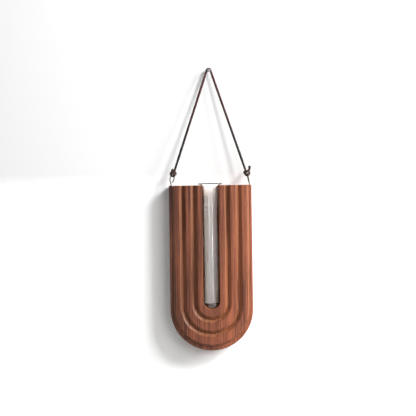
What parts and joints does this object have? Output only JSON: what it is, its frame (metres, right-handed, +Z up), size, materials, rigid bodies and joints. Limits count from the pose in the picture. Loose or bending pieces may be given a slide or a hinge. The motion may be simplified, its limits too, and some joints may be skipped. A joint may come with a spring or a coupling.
{
  "type": "wall-mounted hydroponic vase rack",
  "caption": "Wall-hung wooden vase rack: a U-shaped board with nested V grooves holds a flared glass tube in a slot and hangs from a nail on a knotted cord.",
  "frame": {"origin": "where the nail's axis meets the upright plane that the board's back lies on", "axes": "+X to the right seen from the front, +Y into the surface that it hangs on, so the front faces -Y, +Z up"},
  "size_m": [0.1, 0.0532, 0.3451],
  "materials": {
    "wood": "reddish-brown walnut stain, satin, fine upright grain",
    "glass": "clear, thin, polished",
    "plated_steel": "nickel-plated wire, bright",
    "nail_steel": "plain grey steel, satin",
    "cord": "dark brown round leather, waxed"
  },
  "bodies": {
    "nail": {"hanging_nail": "nail_steel"},
    "sling": {"cord": "cord", "knot_left": "cord", "knot_right": "cord"},
    "rack": {"board": "wood", "screw_eye_left": "plated_steel", "screw_eye_right": "plated_steel"},
    "vase": {"glass_tube": "glass"}
  },
  "joints": [
    {"name": "sling_swing", "type": "hinge", "parent": "nail", "child": "sling", "pos_m": [0, -0.0052, 0], "axis": [0, 1, 0], "range_deg": [-25, 25]},
    {"name": "board_tilt", "type": "hinge", "parent": "sling", "child": "rack", "pos_m": [0, -0.015, -0.1271], "axis": [-1, 0, 0], "range_deg": [0, 25]},
    {"name": "tube_lift", "type": "slide", "parent": "rack", "child": "vase", "axis": [0, 0, 1], "range_m": [0, 0.09]}
  ]
}
